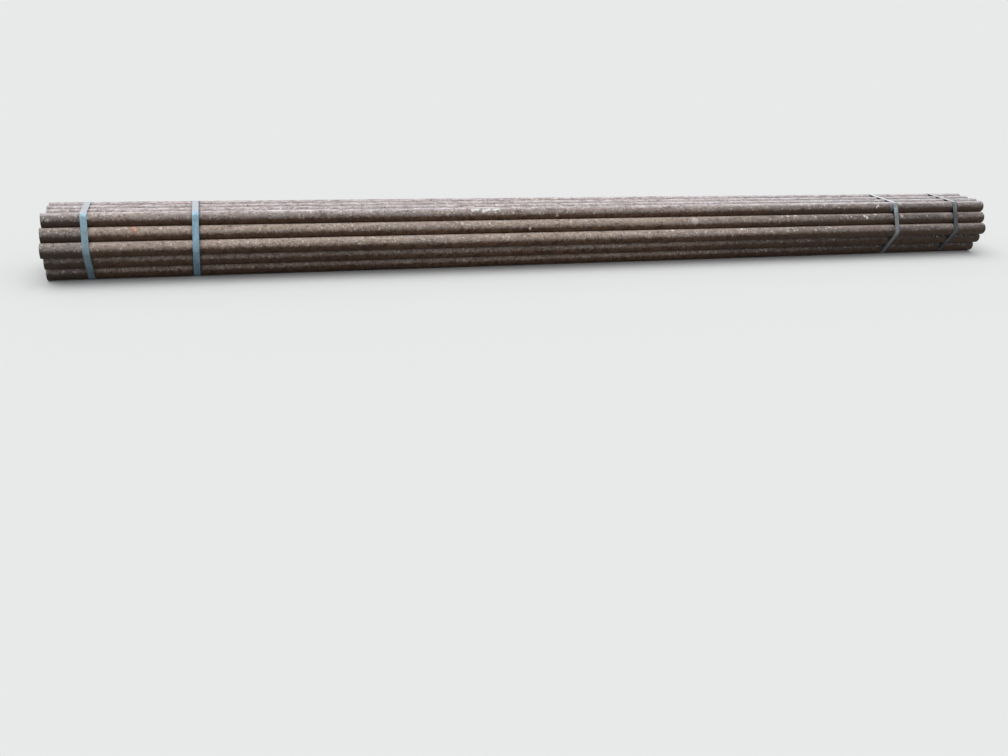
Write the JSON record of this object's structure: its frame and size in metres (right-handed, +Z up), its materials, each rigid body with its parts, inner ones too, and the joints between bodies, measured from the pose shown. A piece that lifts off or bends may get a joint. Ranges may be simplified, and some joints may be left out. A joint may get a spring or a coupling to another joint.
{
  "type": "bundle of steel pipes",
  "caption": "Long round steel pipes nested in a six-sided stack and tied with flat steel straps crimped in seals; open ends, level on its strap undersides.",
  "frame": {"origin": "middle of the bundle's footprint, on the floor under its straps", "axes": "+X along the pipes, +Y from the front side to the back, +Z up"},
  "size_m": [5.832, 0.4608, 0.3436],
  "materials": {
    "pipe_steel": "matte",
    "strap_steel_left": "satin",
    "strap_steel_right": "satin",
    "seal_steel": "satin"
  },
  "bodies": {
    "root": {"pipe_row1_1": "pipe_steel", "pipe_row1_2": "pipe_steel", "pipe_row1_3": "pipe_steel", "pipe_row1_4": "pipe_steel", "pipe_row2_1": "pipe_steel", "pipe_row2_2": "pipe_steel", "pipe_row2_3": "pipe_steel", "pipe_row2_4": "pipe_steel", "pipe_row2_5": "pipe_steel", "pipe_row3_1": "pipe_steel", "pipe_row3_2": "pipe_steel", "pipe_row3_3": "pipe_steel", "pipe_row3_4": "pipe_steel", "pipe_row3_5": "pipe_steel", "pipe_row3_6": "pipe_steel", "pipe_row4_1": "pipe_steel", "pipe_row4_2": "pipe_steel", "pipe_row4_3": "pipe_steel", "pipe_row4_4": "pipe_steel", "pipe_row4_5": "pipe_steel", "pipe_row5_1": "pipe_steel", "pipe_row5_2": "pipe_steel", "pipe_row5_3": "pipe_steel", "pipe_row5_4": "pipe_steel", "strap_left_outer": "strap_steel_left", "strap_left_inner": "strap_steel_left", "strap_right_inner": "strap_steel_right", "strap_right_outer": "strap_steel_right", "seal_left_outer": "seal_steel", "seal_left_inner": "seal_steel", "seal_right_inner": "seal_steel", "seal_right_outer": "seal_steel"}
  },
  "joints": []
}
